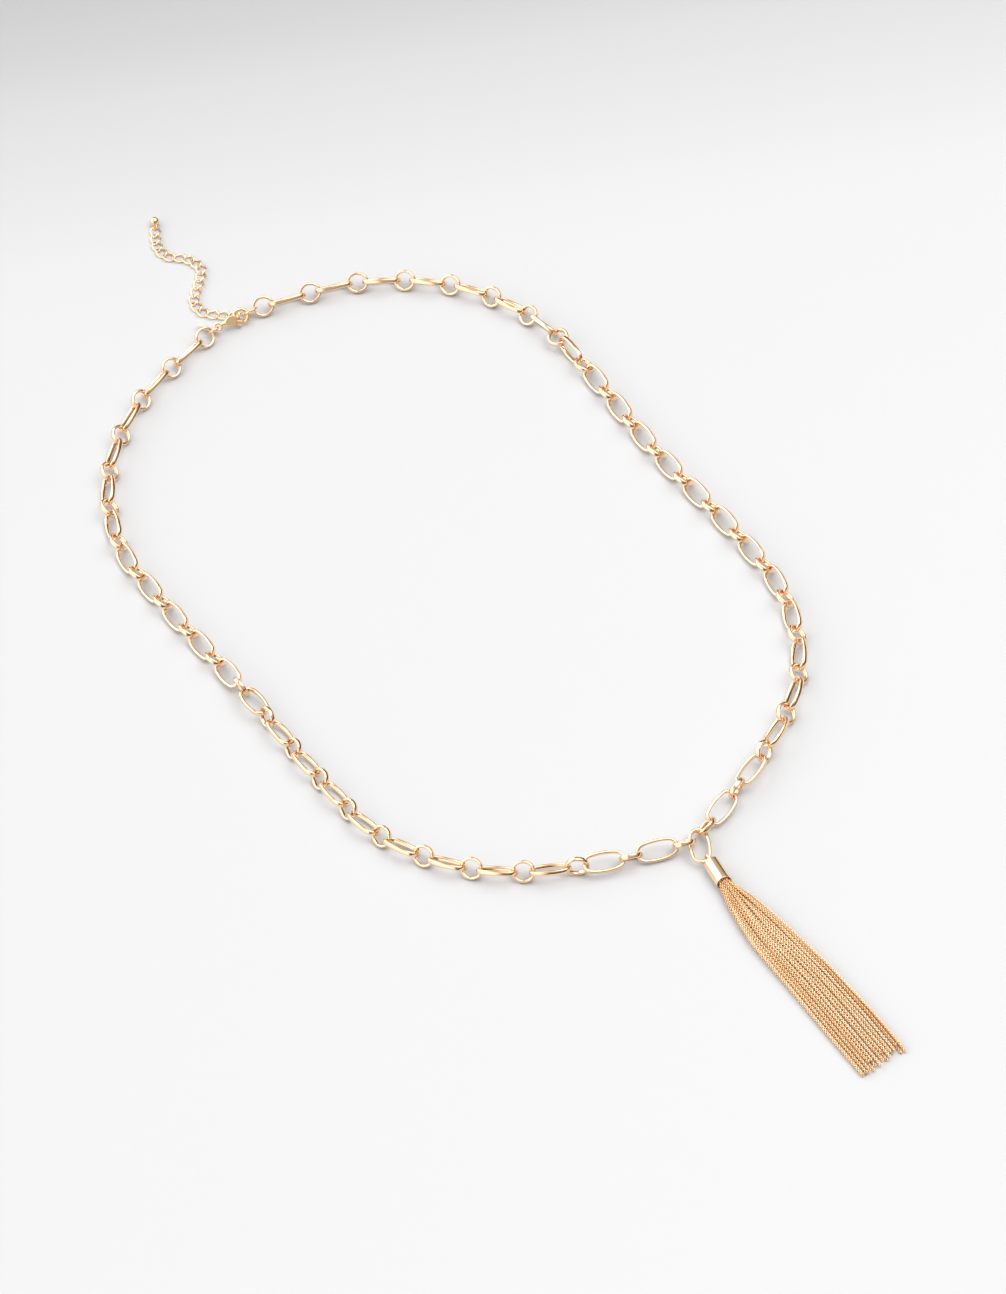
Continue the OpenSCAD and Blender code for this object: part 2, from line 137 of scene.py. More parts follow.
# The room, as seen in the gold. Columns: compass direction in degrees from straight behind towards
# the right, height in degrees, half angle of the full and of the fading part, level, and tint.
PANELS = (
    (80, 66, 26, 34, 2.4, (1.0, 0.99, 0.97)),
    (-36, 34, 20, 33, 2.2, (1.0, 1.0, 1.0)),
    (-100, 10, 34, 56, 1.3, (1.0, 0.99, 0.98)))
# Columns: height of the direction, from 0 at the horizon to 1 overhead, and the walls' colour there.
WALLS = (
    (0.0, (0.05, 0.028, 0.016)), (0.18, (0.11, 0.07, 0.045)), (0.42, (0.50, 0.41, 0.32)),
    (1.0, (0.72, 0.70, 0.67)))

world = bpy.data.worlds.new("pale_room")
scene.world = world
world.use_nodes = True
room_nodes = world.node_tree.nodes
room_links = world.node_tree.links
room_nodes.clear()
seen = room_nodes.new("ShaderNodeTexCoord")
height = room_nodes.new("ShaderNodeSeparateXYZ")
walls = room_nodes.new("ShaderNodeValToRGB")
room_links.new(seen.outputs["Generated"], height.inputs[0])
room_links.new(height.outputs["Z"], walls.inputs[0])
walls.color_ramp.elements[0].color = (*WALLS[0][1], 1)
walls.color_ramp.elements[1].color = (*WALLS[-1][1], 1)
for place, colour in WALLS[1:-1]:
    walls.color_ramp.elements.new(place).color = (*colour, 1)
light_so_far = walls.outputs[0]
for compass, up_angle, full, faded, level, tint in PANELS:
    flat, rise = math.radians(compass), math.radians(up_angle)
    facing = room_nodes.new("ShaderNodeVectorMath")
    facing.operation = "DOT_PRODUCT"
    facing.inputs[1].default_value = (
        math.sin(flat) * math.cos(rise), math.cos(flat) * math.cos(rise), math.sin(rise))
    room_links.new(seen.outputs["Generated"], facing.inputs[0])
    soft = room_nodes.new("ShaderNodeMapRange")
    soft.interpolation_type = "SMOOTHSTEP"
    soft.inputs["From Min"].default_value = math.cos(math.radians(faded))
    soft.inputs["From Max"].default_value = math.cos(math.radians(full))
    soft.inputs["To Max"].default_value = level
    room_links.new(facing.outputs["Value"], soft.inputs["Value"])
    glow = room_nodes.new("ShaderNodeVectorMath")
    glow.operation = "SCALE"
    glow.inputs[0].default_value = tint
    room_links.new(soft.outputs["Result"], glow.inputs["Scale"])
    added = room_nodes.new("ShaderNodeVectorMath")
    added.operation = "ADD"
    room_links.new(light_so_far, added.inputs[0])
    room_links.new(glow.outputs["Vector"], added.inputs[1])
    light_so_far = added.outputs["Vector"]
shine = room_nodes.new("ShaderNodeBackground")
room_out = room_nodes.new("ShaderNodeOutputWorld")
room_links.new(light_so_far, shine.inputs["Color"])
room_links.new(shine.outputs[0], room_out.inputs[0])

# Chain sides and centre link. Each link is bent from flat brass wire with round edges, closed with a
# soldered joint, tumbled smooth and plated in pale warm gold. Each lies where the solid's link lies.

# The plating's patches and ripples: scale and detail of their noise, and the share of the tint that is
# left in the patches.
PATCHES = 900
PATCH_DETAIL = 3
PATCH_TINT = (0.97, 0.93, 0.88)
RIPPLES = 1700
RIPPLE_DETAIL = 2
# The stretch of the patches' noise over which the polish goes from bright to worn.
POLISH_FROM = 0.3
POLISH_TO = 0.7


def gold(name, colour, roughness, wear=0.04, ripple=0.0015, lines=None):
    """Plated gold: its tint and its polish vary a little, in patches of about a millimetre.

    Where lines is given, it also has fine lines along the V direction of its UV map, that many across.
    """
    made = bpy.data.materials.new(name)
    made.use_nodes = True
    nodes, links = made.node_tree.nodes, made.node_tree.links
    shader = nodes["Principled BSDF"]
    shader.inputs["Metallic"].default_value = 1
    place = nodes.new("ShaderNodeTexCoord")
    patches = nodes.new("ShaderNodeTexNoise")
    patches.inputs["Scale"].default_value = PATCHES
    patches.inputs["Detail"].default_value = PATCH_DETAIL
    links.new(place.outputs["Object"], patches.inputs["Vector"])
    tint = nodes.new("ShaderNodeMix")
    tint.data_type = "RGBA"
    tint.inputs["A"].default_value = (*colour, 1)
    tint.inputs["B"].default_value = (*[c * t for c, t in zip(colour, PATCH_TINT)], 1)
    links.new(patches.outputs["Fac"], tint.inputs["Factor"])
    links.new(tint.outputs["Result"], shader.inputs["Base Color"])
    polish = nodes.new("ShaderNodeMapRange")
    polish.inputs["From Min"].default_value = POLISH_FROM
    polish.inputs["From Max"].default_value = POLISH_TO
    polish.inputs["To Min"].default_value = roughness
    polish.inputs["To Max"].default_value = roughness + wear
    links.new(patches.outputs["Fac"], polish.inputs["Value"])
    links.new(polish.outputs["Result"], shader.inputs["Roughness"])
    waves = nodes.new("ShaderNodeTexNoise")
    waves.inputs["Detail"].default_value = RIPPLE_DETAIL
    if lines:
        stretch = nodes.new("ShaderNodeMapping")
        stretch.inputs["Scale"].default_value = (lines, 1, 1)
        links.new(place.outputs["UV"], stretch.inputs["Vector"])
        links.new(stretch.outputs["Vector"], waves.inputs["Vector"])
        waves.inputs["Scale"].default_value = 1
    else:
        links.new(place.outputs["Object"], waves.inputs["Vector"])
        waves.inputs["Scale"].default_value = RIPPLES
    bump = nodes.new("ShaderNodeBump")
    bump.inputs["Strength"].default_value = 1
    bump.inputs["Distance"].default_value = ripple * MM
    links.new(waves.outputs["Fac"], bump.inputs["Height"])
    links.new(bump.outputs["Normal"], shader.inputs["Normal"])
    return made


# A link's outer length and width and the share of its half width that its end arcs have as radius.
LONG_LINK = (14.1 * MM, 7.2 * MM, 0.86)
SHORT_LINK = (8.1 * MM, 7.5 * MM, 0.9)
# The flat wire's thickness and breadth, the radius of its edges as a share of its thickness, and the
# points along a link and round each edge.
LINK_WIRE = 1.02 * MM
LINK_BAND = 1.65 * MM
EDGE_SHARE = 0.44
LINK_STATIONS = 44
EDGE_STEPS = 3
# A solid is a long link where it spreads this many times further one way than the other.
LONG_FROM = 1.3
# Decimals of a metre to which two corners of a CAD mesh are one.
SAME_PLACE = 7


def points_of(name):
    """The corners of a CAD node's mesh."""
    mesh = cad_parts[name].data
    flat = np.empty(3 * len(mesh.vertices))
    mesh.vertices.foreach_get("co", flat)
    return flat.reshape(-1, 3)


def solids_of(name):
    """The points of each separate solid of a CAD node."""
    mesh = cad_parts[name].data
    points, same = np.unique(np.round(points_of(name), SAME_PLACE), axis=0, return_inverse=True)
    ends = np.empty(2 * len(mesh.edges), dtype=np.int32)
    mesh.edges.foreach_get("vertices", ends)
    ends = same.ravel()[ends].reshape(-1, 2)
    label = np.arange(len(points))
    while True:
        low = np.minimum(label[ends[:, 0]], label[ends[:, 1]])
        lower = label.copy()
        np.minimum.at(lower, ends[:, 0], low)
        np.minimum.at(lower, ends[:, 1], low)
        lower = lower[lower]
        if (lower == label).all():
            return [points[label == k] for k in np.unique(label)]
        label = lower


def oval(outer_length, outer_width, end_share):
    """The middle line of a link's wire: two end arcs and two side arcs."""
    a, b = (outer_length - LINK_WIRE) / 2, (outer_width - LINK_WIRE) / 2
    end = b * end_share
    side = ((a - end) ** 2 + b * b - end * end) / (2 * (b - end))
    split = math.atan2(side - b, a - end)
    turn = np.linspace(-split, split, LINK_STATIONS // 4, endpoint=False)
    over = np.linspace(split, math.pi - split, LINK_STATIONS // 4, endpoint=False)
    half = np.vstack((
        np.stack((a - end + end * np.cos(turn), end * np.sin(turn)), 1),
        np.stack((side * np.cos(over), b - side + side * np.sin(over)), 1)))
    return np.vstack((half, -half))


def link_lines(name, first):
    """Middle lines and face directions of a side's links, walked from the place called first."""
    solids = solids_of(name)
    middles = np.array([(p.min(axis=0) + p.max(axis=0)) / 2 for p in solids])
    order = [int(np.linalg.norm(middles - first, axis=1).argmin())]
    left = set(range(len(solids))) - set(order)
    while left:
        order.append(min(left, key=lambda k: np.linalg.norm(middles[k] - middles[order[-1]])))
        left.remove(order[-1])
    lines, facings = [], []
    for i, k in enumerate(order):
        sizes, directions = np.linalg.svd(solids[k] - middles[k], full_matrices=False)[1:]
        normal = directions[2]
        way = middles[order[min(i + 1, len(order) - 1)]] - middles[order[max(i - 1, 0)]]
        is_long = sizes[0] > LONG_FROM * sizes[1]
        way = directions[0] if is_long or len(order) == 1 else way - normal * (way @ normal)
        way = way / np.linalg.norm(way)
        flat = oval(*(LONG_LINK if is_long else SHORT_LINK))
        line = middles[k] + np.outer(flat[:, 0], way) + np.outer(flat[:, 1], np.cross(normal, way))
        reach = LINK_WIRE / 2 + (LINK_BAND - LINK_WIRE) / 2 * abs(normal[2])
        line[:, 2] += max(0, reach - line[:, 2].min())
        lines.append(line)
        facings.append(np.tile(normal, (len(line), 1)))
    return lines, facings


def new_tree(name, sockets):
    """A geometry node group with a geometry input and output and the named inputs."""
    tree = bpy.data.node_groups.new(name, "GeometryNodeTree")
    tree.interface.new_socket("Geometry", in_out="INPUT", socket_type="NodeSocketGeometry")
    for label, kind in sockets:
        tree.interface.new_socket(label, in_out="INPUT", socket_type=kind)
    tree.interface.new_socket("Geometry", in_out="OUTPUT", socket_type="NodeSocketGeometry")
    return tree


def set_inputs(modifier, **values):
    """Sets a node modifier's named inputs."""
    for item in modifier.node_group.interface.items_tree:
        if item.item_type == "SOCKET" and item.in_out == "INPUT" and item.name in values:
            modifier[item.identifier] = values[item.name]


def grown(name, lines, attributes, tree, closed=False, **values):
    """Grows a node group on lines of points and keeps what it makes as a plain mesh object."""
    points = np.vstack(lines)
    starts = np.cumsum([0] + [len(line) for line in lines[:-1]])
    edges = [(a + i, a + i + 1) for a, line in zip(starts, lines) for i in range(len(line) - 1)]
    if closed:
        edges += [(a + len(line) - 1, a) for a, line in zip(starts, lines)]
    seed = bpy.data.meshes.new(name + "_lines")
    seed.from_pydata(points.tolist(), edges, [])
    for label, data in attributes.items():
        if data.ndim == 2:
            seed.attributes.new(label, "FLOAT_VECTOR", "POINT").data.foreach_set("vector", data.ravel())
        else:
            seed.attributes.new(label, "FLOAT", "POINT").data.foreach_set("value", data)
    carrier = bpy.data.objects.new(name + "_lines", seed)
    scene.collection.objects.link(carrier)
    modifier = carrier.modifiers.new("grow", "NODES")
    modifier.node_group = tree
    set_inputs(modifier, **values)
    ready = carrier.evaluated_get(bpy.context.evaluated_depsgraph_get())
    mesh = bpy.data.meshes.new_from_object(ready)
    mesh.name = name
    bpy.data.objects.remove(carrier)
    piece = bpy.data.objects.new(name, mesh)
    scene.collection.objects.link(piece)
    return piece


def flat_link_tree():
    """Sweeps flat wire along closed lines, its breadth square to the plane in which a link is bent."""
    tree = new_tree("flat_links", (
        ("Wire", "NodeSocketFloat"), ("Band", "NodeSocketFloat"), ("Material", "NodeSocketMaterial")))
    nodes, links = tree.nodes, tree.links
    start = nodes.new("NodeGroupInput")
    end = nodes.new("NodeGroupOutput")
    curve = nodes.new("GeometryNodeMeshToCurve")
    links.new(start.outputs["Geometry"], curve.inputs["Mesh"])
    facing = nodes.new("GeometryNodeInputNamedAttribute")
    facing.data_type = "FLOAT_VECTOR"
    facing.inputs["Name"].default_value = "facing"
    faced = nodes.new("GeometryNodeSetCurveNormal")
    links.new(curve.outputs["Curve"], faced.inputs["Curve"])
    faced.mode = "FREE"
    links.new(facing.outputs["Attribute"], faced.inputs["Normal"])
    section = nodes.new("GeometryNodeCurvePrimitiveQuadrilateral")
    links.new(start.outputs["Band"], section.inputs["Width"])
    links.new(start.outputs["Wire"], section.inputs["Height"])
    edge = nodes.new("ShaderNodeMath")
    edge.operation = "MULTIPLY"
    edge.inputs[1].default_value = EDGE_SHARE
    links.new(start.outputs["Wire"], edge.inputs[0])
    rounded = nodes.new("GeometryNodeFilletCurve")
    rounded.mode = "POLY"
    rounded.inputs["Count"].default_value = EDGE_STEPS
    links.new(section.outputs["Curve"], rounded.inputs["Curve"])
    links.new(edge.outputs["Value"], rounded.inputs["Radius"])
    swept = nodes.new("GeometryNodeCurveToMesh")
    links.new(faced.outputs["Curve"], swept.inputs["Curve"])
    links.new(rounded.outputs["Curve"], swept.inputs["Profile Curve"])
    real = nodes.new("GeometryNodeRealizeInstances")
    links.new(swept.outputs["Mesh"], real.inputs["Geometry"])
    smooth = nodes.new("GeometryNodeSetShadeSmooth")
    links.new(real.outputs["Geometry"], smooth.inputs["Geometry"])
    finish = nodes.new("GeometryNodeSetMaterial")
    links.new(smooth.outputs["Geometry"], finish.inputs["Geometry"])
    links.new(start.outputs["Material"], finish.inputs["Material"])
    links.new(finish.outputs["Geometry"], end.inputs["Geometry"])
    return tree


CHAIN_TINT = (0.96, 0.71, 0.495)
chain_gold = gold("chain_gold", CHAIN_TINT, roughness=0.06)
link_tree = flat_link_tree()
clasp_middle = points_of("clasp_body").mean(axis=0)
for name in ("chain_left", "chain_right", "centre_link"):
    lines, facings = link_lines(name, clasp_middle)
    links = grown(
        "flat_" + name, lines, {"facing": np.vstack(facings)}, link_tree, True,
        Wire=LINK_WIRE, Band=LINK_BAND, Material=chain_gold)
    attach(links, "necklace")
    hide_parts(name)

# Tassel's cap. A tube of thin brass, drawn with a closed end, its edges rounded and its side finished
# with fine lines along it. The loop that hangs it is a ring of wire, soldered upright on the closed end.
CAP_YAW = math.radians(-77.2)
CAP_RADIUS = 2.7 * MM
CAP_LENGTH = 9.8 * MM
CAP_WALL = 0.4 * MM
CAP_END = 0.5 * MM
CAP_EDGE = 0.3 * MM
CAP_LIP = 0.13 * MM
LOOP_RADIUS = 1.8 * MM
LOOP_WIRE = 0.8 * MM
LOOP_SUNK = 0.1 * MM
LOOP_DROP = 0.4 * MM
LOOP_TURN = math.radians(17.2)
SOLDER_RADIUS = 0.85 * MM
SOLDER_HEIGHT = 0.32 * MM
SOLDER_SUNK = 0.02 * MM
SOLDER_SIDES = 24
SOLDER_STEPS = 6
CAP_SIDES = 96
# Where the cap's side has points, as shares of its length, and how far from its mouth its rim is read.
CAP_STATIONS = (0.2, 0.5, 0.8)
RIM_DEPTH = 1 * MM
# A radius or an angle that counts as none.
NEARLY_NONE = 1e-6


def mesh_piece(name, points, faces, material, around=None):
    """A smooth piece of those points and faces; around gives the UV place of every point."""
    mesh = bpy.data.meshes.new(name)
    mesh.from_pydata([tuple(p) for p in points], [], faces)
    mesh.polygons.foreach_set("use_smooth", [True] * len(mesh.polygons))
    mesh.materials.append(material)
    if around is not None:
        corner = np.empty(len(mesh.loops), dtype=np.int32)
        mesh.loops.foreach_get("vertex_index", corner)
        mesh.uv_layers.new(name="own").data.foreach_set("uv", around[corner].ravel())
    piece = bpy.data.objects.new(name, mesh)
    scene.collection.objects.link(piece)
    return piece


def rows_of_faces(rows, columns, first=0, closed_rows=False, closed_columns=True):
    """Four-sided faces between rows of points that stand one after another."""
    faces = []
    for i in range(rows if closed_rows else rows - 1):
        for k in range(columns if closed_columns else columns - 1):
            a, b = first + i * columns, first + (i + 1) % rows * columns
            faces.append((a + k, a + (k + 1) % columns, b + (k + 1) % columns, b + k))
    return faces


def round_edge(middle, radius, start, stop, steps=6):
    """Places on an arc about a middle, from one angle to another in degrees."""
    angles = np.radians(np.linspace(start, stop, steps + 1))
    return [(middle[0] + radius * math.cos(a), middle[1] + radius * math.sin(a)) for a in angles]


def bent_wire(radius, wire, turns, sides=16, steps=64):
    """Points of a round wire bent to a ring in its own XY plane, row by row, and its faces."""
    angles = np.linspace(*turns, steps + 1)
    whole = turns[1] - turns[0] > 2 * math.pi - NEARLY_NONE
    if whole:
        angles = angles[:-1]
    beads = np.linspace(0, 2 * math.pi, sides, endpoint=False)
    out = radius + wire / 2 * np.cos(beads)
    points = np.stack((
        np.outer(np.cos(angles), out), np.outer(np.sin(angles), out),
        np.tile(wire / 2 * np.sin(beads), (len(angles), 1))), 2).reshape(-1, 3)
    return points, rows_of_faces(len(angles), sides, 0, whole), len(angles), sides


def turned_form(profile, sides):
    """Points and faces of a shape turned about X; the profile's places are along X and out from it."""
    profile = np.array(profile)
    angles = np.linspace(0, 2 * math.pi, sides, endpoint=False)
    points = np.stack((
        np.repeat(profile[:, 0], sides), np.outer(profile[:, 1], np.cos(angles)).ravel(),
        np.outer(profile[:, 1], np.sin(angles)).ravel()), 1)
    return points, rows_of_faces(len(profile), sides)


cap_points = points_of("tassel_cap")
cap_along = np.array((math.cos(CAP_YAW), math.sin(CAP_YAW), 0))
cap_across = np.array((-math.sin(CAP_YAW), math.cos(CAP_YAW), 0))
mouth_reach = (cap_points @ cap_along).max()
rim_points = cap_points[cap_points @ cap_along > mouth_reach - RIM_DEPTH]
rim_low, rim_high = rim_points.min(axis=0), rim_points.max(axis=0)
rim_side = rim_points @ cap_across
mouth = cap_along * mouth_reach + cap_across * (rim_side.min() + rim_side.max()) / 2
mouth[2] = (rim_low[2] + rim_high[2]) / 2

bore_radius = CAP_RADIUS - CAP_WALL
cap_profile = [(0, NEARLY_NONE)]
cap_profile += round_edge((CAP_EDGE, CAP_RADIUS - CAP_EDGE), CAP_EDGE, 180, 90)
cap_profile += [(share * CAP_LENGTH, CAP_RADIUS) for share in CAP_STATIONS]
cap_profile += round_edge((CAP_LENGTH - CAP_LIP, CAP_RADIUS - CAP_LIP), CAP_LIP, 90, 0)
cap_profile += round_edge((CAP_LENGTH - CAP_LIP, bore_radius + CAP_LIP), CAP_LIP, 0, -90)
cap_profile += [(CAP_END, bore_radius), (CAP_END, NEARLY_NONE)]
cap_shell, cap_faces = turned_form(cap_profile, CAP_SIDES)
loop_points, loop_faces, _, _ = bent_wire(LOOP_RADIUS, LOOP_WIRE, (0, 2 * math.pi))
loop_axes = np.array((
    (math.cos(LOOP_TURN), 0, -math.sin(LOOP_TURN)), (math.sin(LOOP_TURN), 0, math.cos(LOOP_TURN)),
    (0, 1, 0)))
loop_points = loop_points @ loop_axes.T + (LOOP_SUNK - LOOP_RADIUS, 0, -LOOP_DROP)
dome = np.radians(np.linspace(0, 90, SOLDER_STEPS + 1))
dome_profile = (-SOLDER_HEIGHT * np.cos(dome), np.maximum(SOLDER_RADIUS * np.sin(dome), NEARLY_NONE))
solder, solder_faces = turned_form(np.stack(dome_profile, 1), SOLDER_SIDES)
solder = solder + (SOLDER_SUNK, 0, -LOOP_DROP)
cap_local = np.vstack((cap_shell, loop_points, solder))
cap_all = cap_faces + [tuple(v + len(cap_shell) for v in face) for face in loop_faces]
cap_all += [tuple(v + len(cap_shell) + len(loop_points) for v in face) for face in solder_faces]
cap_around = np.stack((
    np.arctan2(cap_local[:, 2], cap_local[:, 1]) / (2 * math.pi), cap_local[:, 0] / CAP_LENGTH), 1)
fan_frame = np.stack((cap_along, cap_across, (0, 0, 1)), 1)
cap_places = cap_local @ fan_frame.T + mouth - cap_along * CAP_LENGTH
CAP_TINT = (0.97, 0.78, 0.56)
cap_gold = gold("cap_gold", CAP_TINT, roughness=0.09, ripple=0.004, lines=240)
cap = mesh_piece("cap_and_loop", cap_places, cap_all, cap_gold, cap_around)
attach(cap, "necklace")
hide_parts("tassel_cap")

# Tassel's fine chains. Twenty-six fine chains of soldered wire hang out of the cap. They leave its
# mouth as a round bunch, part into a few locks and settle on the surface as a flat fan two deep.
STRANDS = 26
PIECES = 2
STRAND_SEED = 11
STRAND_LENGTH = 92 * MM
FAN_WIDTH = 16.8 * MM
FAN_DEPTH = 2.0 * MM
MOUTH_ROOM = 4.3 * MM
MOUTH_GAP = 0.15 * MM
TUCKED_IN = 1.5 * MM
# Columns: share of the strands' length, sideways shift as a share of that length, share of the fan's
# width, share of the extra depth that the bunch has at the cap's mouth.
FAN = np.array((
    (0, 0, 0.27, 1), (0.1, 0.012, 0.57, 0.85), (0.2, 0.022, 0.72, 0.6), (0.3, 0.034, 0.82, 0.45),
    (0.53, 0.068, 0.93, 0.25), (0.77, 0.095, 1, 0.08), (1, 0.117, 0.99, 0)))
# The share of the length by which the bunch has come down, how much thinner its lower layer is at
# the fan's sides, and the stations along a strand, set closer near the cap by that power.
SETTLED = 0.33
EDGE_THINNING = 0.6
STATIONS = 81
CLOSER = 1.25
# A link's length, width and wire, the distance from one link to the next, and the corners of a link's
# oval and of its wire.
FINE_LENGTH = 1.24 * MM
FINE_WIDTH = 1.16 * MM
FINE_WIRE = 0.34 * MM
FINE_PITCH = 0.68 * MM
OVAL_CORNERS = 8
WIRE_CORNERS = 5
# How soon the round bunch has spread to a flat fan, how far a strand sways from its own row, and how
# often that sway is smoothed.
SPREADING = 0.3
SWAY = 0.22 * MM
SMOOTHED = 8
# Where the bunch parts into locks, as places across it from -1 to 1, how far the locks draw in, and
# the shares of the length between which they do.
PARTINGS = (-0.62, 0.1, 0.52)
DRAWN_IN = 0.36
PARTED = (0.02, 0.1, 0.38)
# The shortest strand as a share of the length, how much shorter still the strands get towards one
# side of the fan, and how far their ends lie towards that side.
SHORTEST = 0.962
END_SLANT = 0.022
END_SHIFT = 1.1 * MM
# In turns: how strands lie turned on the whole, how much they differ, and the slow twist along each.
LEAN = 0.02
LEANING = 0.035
TWIST = 0.12


def fan(share, column):
    """A value of the fan at a share of its length."""
    return np.interp(share, FAN[:, 0], FAN[:, column])


def eased(share):
    """A slow start and a slow end from 0 to 1."""
    share = min(1, share)
    return share * share * (3 - 2 * share)


def strand_paths(chance):
    """Places of every strand at every station, in the fan's own frame: along, across and up."""
    radius = FINE_WIDTH / 2
    room = MOUTH_ROOM / 2 - radius
    turn = math.pi * (3 - math.sqrt(5))
    rings = np.sqrt((np.arange(STRANDS) + 0.5) / STRANDS) * room
    angles = turn * np.arange(STRANDS)
    spot = np.stack((rings * np.cos(angles), rings * np.sin(angles)), 1)
    order = np.argsort(spot[:, 0])
    for pair in range(0, STRANDS, 2):
        if spot[order[pair], 1] > spot[order[pair + 1], 1]:
            order[pair:pair + 2] = order[pair + 1], order[pair]
    spot = spot[order] / room
    column = np.arange(STRANDS) // 2
    upper = np.arange(STRANDS) % 2
    across = 2 * column / column.max() - 1
    locks = np.searchsorted(PARTINGS, across)
    middles = np.array([across[locks == k].mean() for k in range(len(PARTINGS) + 1)])
    shares = np.linspace(0, 1, STATIONS) ** CLOSER
    sway = np.cumsum(chance.normal(0, 1, (STATIONS, STRANDS)), axis=0)
    for _ in range(SMOOTHED):
        sway[1:-1] = (sway[:-2] + sway[1:-1] + sway[2:]) / 3
    sway = (sway - sway.mean(axis=0)) / np.abs(sway - sway.mean(axis=0)).max(axis=0)
    places = np.empty((STATIONS, STRANDS, 2))
    for k, share in enumerate(shares):
        half_width = fan(share, 2) * FAN_WIDTH / 2 - radius
        depth = FAN_DEPTH + (MOUTH_ROOM - FAN_DEPTH) * fan(share, 3)
        lift = (mouth[2] - MOUTH_ROOM / 2) * (1 - min(1, share / SETTLED))
        drawn = DRAWN_IN * np.interp(share, PARTED, (0, 1, 0))
        home = (across * (1 - drawn) + middles[locks] * drawn) * half_width
        home = home + sway[k] * SWAY * (1 - abs(across))
        thinner = np.sqrt(1 - EDGE_THINNING * across ** 2 * (1 - upper))
        flat_up = lift + radius + upper * (depth - 2 * radius) * thinner
        round_up = lift + depth / 2 + spot[:, 1] * (depth / 2 - radius)
        settled = eased(share / SPREADING)
        places[k, :, 0] = (1 - settled) * spot[:, 0] * half_width + settled * home
        places[k, :, 1] = (1 - settled) * round_up + settled * flat_up
    ends = SHORTEST + (1 - SHORTEST) * chance.random(STRANDS) - END_SLANT * (1 + across) / 2
    paths = []
    for s in range(STRANDS):
        along = shares * STRAND_LENGTH + MOUTH_GAP
        kept = shares <= ends[s]
        sideways = places[:, s, 0] + fan(shares, 1) * STRAND_LENGTH + END_SHIFT * shares
        path = np.stack((along, sideways, places[:, s, 1]), 1)[kept]
        tucked = path[0] - (TUCKED_IN, 0, 0)
        paths.append(np.vstack((tucked, path)))
    return paths


